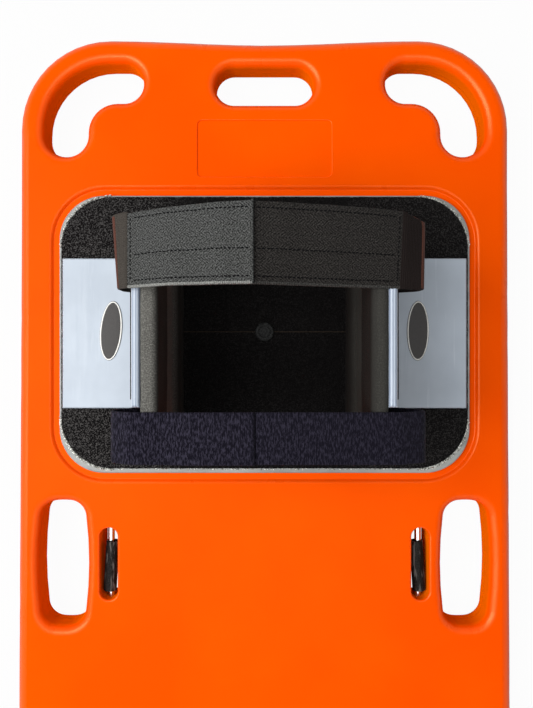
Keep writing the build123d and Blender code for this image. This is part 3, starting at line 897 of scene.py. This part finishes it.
# The right half takes the darker copies, as painted shade
STRAP_LOOKS = {
    "left": {"cloth": "strap_grey", "band": "strap_band", "end": "strap_rib"},
    "right": {"cloth": "strap_shade", "band": "strap_band_shade", "end": "strap_rib_shade"},
}


def lift_at(table, x):
    """The rise at x, from a smooth curve through the table."""
    if x <= table[0][0]:
        return table[0][1]
    for (x0, y0), (x1, y1) in zip(table, table[1:]):
        if x <= x1:
            f = (x - x0) / (x1 - x0)
            return y0 + (y1 - y0) * f * f * (3 - 2 * f)
    return table[-1][1]


def crown_shape(side):
    """Twists the crown, slants or rounds the strap's outer end and lets the cloth ripple."""

    def shape(point, v):
        share = min(1.0, max(0.0, (point.z - TWIST_FROM_Z) / TWIST_OVER_Z))
        across = v / STRAP_WIDTH
        head, foot = lift_at(HEAD_EDGE, point.x), lift_at(FOOT_EDGE, point.x)
        point.z += share * ((1 - across) * head + across * foot)
        if side < 0:
            point.x += max(0.0, -LEFT_FLARE_X - point.x) * LEFT_FLARE * across
        past = point.x * side - RIGHT_END_X
        if past > 0 and side > 0:
            point.x -= past * RIGHT_ROUNDING * max(0.0, 1 - v / RIGHT_ROUNDED_TO) ** 2
        point.z += CLOTH_RIPPLE * noise.noise(Vector((point.x * 40, v * 30, 0.3)))
        return point

    return shape


for side_name, side in SIDES.items():
    body, looks = f"{side_name}_block", STRAP_LOOKS[side_name]
    low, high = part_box(f"forehead_strap_{side_name}")
    bow_x = side * (WALL_OUTER + STRAP_BOW[side_name])
    tab_x = side * (WALL_OUTER + 2.9 * MM)
    to_shoulder = crowns[side_name] + [(side * SHOULDER_X, SHOULDER_Z)]
    points = to_shoulder + [
        (bow_x, WALL_TOP - 7 * MM),
        (bow_x, WALL_TOP - 27 * MM),
        (tab_x, WALL_TOP - 42 * MM),
        (tab_x, WALL_TOP - 94 * MM),
    ]
    strap = Ribbon(points, high.y, low.y, side, crown_shape(side))
    width = strap.width
    shoulder_u = run_length(to_shoulder)
    bow_u = shoulder_u + (Vector(points[-5]) - Vector(points[-4])).length
    end_u, edge_u = shoulder_u - 4 * MM, bow_u - 4 * MM

    name = f"forehead_cloth_{side_name}"
    cloth_thick = STRAP_THICK - 0.3 * MM
    mesh = strap.body(name, 0, strap.length, CLOTH_INSET, width - CLOTH_INSET, cloth_thick)
    solid_names = [f"forehead_strap_{side_name}"]
    cloth = piece(name, mesh, looks["cloth"], body, solid_names)

    name = f"forehead_foot_band_{side_name}"
    band_span = (0.4 * MM, end_u + 2 * MM, width - BAND_WIDTH, width)
    mesh = strap.body(name, *band_span, STRAP_THICK + 0.1 * MM, rows=3)
    extra = [piece(name, mesh, looks["band"], body)]

    name = f"forehead_edge_{side_name}"
    edge_span = (edge_u, edge_u + 5 * MM, 1.0 * MM, width - 0.4 * MM)
    mesh = strap.body(name, *edge_span, STRAP_THICK, lift=0.75 * MM, step=0.0005)
    extra.append(piece(name, mesh, "strap_edge", body))

    name = f"forehead_end_{side_name}"
    end_span, ribs = (end_u, strap.length, 0.0, width), (1.6 * MM, 0.5 * MM)
    end_thick = STRAP_THICK - 0.2 * MM
    mesh = strap.body(name, *end_span, end_thick, lift=0.25 * MM, step=0.0003, rib=ribs)
    extra.append(piece(name, mesh, looks["end"], body))

    if side_name == "left":
        name = "forehead_lap_band_left"
        lap_span = (0.0, 1.3 * MM, 0.0, width)
        mesh = strap.body(name, *lap_span, STRAP_THICK, lift=0.05 * MM, step=0.0002)
        extra.append(piece(name, mesh, "strap_grey", body))

    # Three seams along the strap and one across its outer end
    seam_from, seam_to, end_seam = 2.5 * MM, end_u - 3 * MM, end_u - 2.5 * MM
    rows = [(seam_from, v, seam_to, v) for v in (5.0 * MM, width * 0.57, width - 5.2 * MM)]
    rows.append((end_seam, 4.0 * MM, end_seam, width - 4.0 * MM))
    name = f"forehead_stitches_{side_name}"
    on_top = STRAP_THICK / 2 + 0.05 * MM
    mesh = strap.stitches(name, rows, *FOREHEAD_STITCH, on_top)
    extra.append(piece(name, mesh, "thread_dark", body))

# Chin strap: webbing with a stitched end for each half
CHIN_Z, CHIN_STEP, CHIN_THICK = WALL_TOP + 1.5 * MM, 2.7 * MM, 2.4 * MM
CHIN_LAP = 45 * MM
CHIN_SEAM_INSET, CHIN_BOX_LENGTH, CHIN_BOX_TO_END = 4 * MM, 26 * MM, 6 * MM
chin_low, chin_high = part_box("chin_strap_right")
ramp = CROWN_X - CHIN_LAP - CHIN_THICK
laps = {
    "left": [
        (CROWN_X, CHIN_Z + CHIN_STEP),
        (ramp, CHIN_Z + CHIN_STEP),
        (ramp - 18 * MM, CHIN_Z),
    ],
    "right": [(CROWN_X - CHIN_LAP, CHIN_Z)],
}
for side_name, side in SIDES.items():
    body = f"{side_name}_block"
    low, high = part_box(f"chin_strap_{side_name}")
    bow_x = (low.x if side < 0 else high.x) - side * CHIN_THICK / 2
    tab_x = side * (PAD_OUTER + 2.7 * MM)
    points = laps[side_name] + [
        (side * (PAD_OUTER + 7 * MM), CHIN_Z),
        (bow_x, CHIN_Z - 9 * MM),
        (bow_x, CHIN_Z - 26 * MM),
        (tab_x, CHIN_Z - 44 * MM),
        (tab_x, CHIN_Z - 82 * MM),
    ]
    strap = Ribbon(points, chin_high.y, chin_low.y, side)
    name = f"chin_web_{side_name}"
    mesh = strap.body(name, 0, strap.length, 0.0, strap.width, CHIN_THICK)
    solid_names = [f"chin_strap_{side_name}"]
    cloth = piece(name, mesh, "strap_dark", body, solid_names)

    # A box of stitches with a cross in it
    box_end = strap.length - CHIN_BOX_TO_END
    box_start = box_end - CHIN_BOX_LENGTH
    head_v, foot_v = CHIN_SEAM_INSET, strap.width - CHIN_SEAM_INSET
    rows = [
        (box_start, head_v, box_end, head_v),
        (box_start, foot_v, box_end, foot_v),
        (box_start, head_v, box_start, foot_v),
        (box_end, head_v, box_end, foot_v),
        (box_start, head_v, box_end, foot_v),
        (box_start, foot_v, box_end, head_v),
    ]
    name = f"chin_stitches_{side_name}"
    mesh = strap.stitches(name, rows, *CHIN_STITCH, CHIN_THICK / 2)
    extra = [piece(name, mesh, "thread_grey", body)]


# Floor, world and lamps
def sees_background(tree):
    """1 for rays from the camera, a gloss or a glass, and 0 for those that only carry light."""
    path = make_node(tree, "LightPath").outputs
    keys = {0: path["Is Camera Ray"], 1: path["Is Glossy Ray"]}
    seen = make_node(tree, "Math", keys, operation="ADD").outputs[0]
    keys = {0: seen, 1: path["Is Transmission Ray"]}
    return make_node(tree, "Math", keys, operation="ADD", use_clamp=True).outputs[0]


FLOOR_HALF, FLOOR_Z = 6, -0.0004
FLOOR_WHITE_SHARE = 0.965
floor_mesh = bpy.data.meshes.new("floor")
outline = rectangle(-FLOOR_HALF, -FLOOR_HALF, FLOOR_HALF, FLOOR_HALF)
floor_mesh.from_pydata([(x, y, FLOOR_Z) for x, y in outline], [], [(0, 1, 2, 3)])
floor = bpy.data.objects.new("floor", floor_mesh)
scene.collection.objects.link(floor)
paper = bpy.data.materials.new("floor_white")
paper.use_nodes = True
tree = paper.node_tree
tree.nodes.clear()
matte = make_node(tree, "BsdfDiffuse", {"Color": (0.55, 0.55, 0.55, 1)})
glow = make_node(tree, "Emission", {"Color": (1, 1, 1, 1), "Strength": 1.0})
keys = {0: sees_background(tree), 1: FLOOR_WHITE_SHARE}
seen = make_node(tree, "Math", keys, operation="MULTIPLY")
keys = {0: seen.outputs[0], 1: matte.outputs[0], 2: glow.outputs[0]}
both = make_node(tree, "MixShader", keys)
make_node(tree, "OutputMaterial", {"Surface": both.outputs[0]})
floor_mesh.materials.append(paper)

WORLD_LIGHT = 0.14
world = bpy.data.worlds.new("studio")
scene.world = world
world.use_nodes = True
tree = world.node_tree
tree.nodes.clear()
plain = make_node(tree, "Background", {"Color": (1, 1, 1, 1), "Strength": WORLD_LIGHT})
white = make_node(tree, "Background", {"Color": (1, 1, 1, 1), "Strength": 1.0})
keys = {0: sees_background(tree), 1: plain.outputs[0], 2: white.outputs[0]}
both = make_node(tree, "MixShader", keys)
make_node(tree, "OutputWorld", {"Surface": both.outputs[0]})


def lamp(name, place, aim, size, power):
    light = bpy.data.lights.new(name, "AREA")
    light.shape = "SQUARE"
    light.size = size
    light.energy = power
    obj = bpy.data.objects.new(name, light)
    scene.collection.objects.link(obj)
    obj.location = place
    obj.rotation_euler = (Vector(aim) - Vector(place)).to_track_quat("-Z", "Y").to_euler()
    obj.visible_camera = False


lamp("key", place=(-1.05, 0.58, 1.5), aim=(0, 0.55, 0.05), size=1.3, power=35)
lamp("top", place=(0.0, 0.2, 2.5), aim=(0, 0.3, 0.05), size=1.6, power=20)

scene.view_settings.view_transform = "Standard"
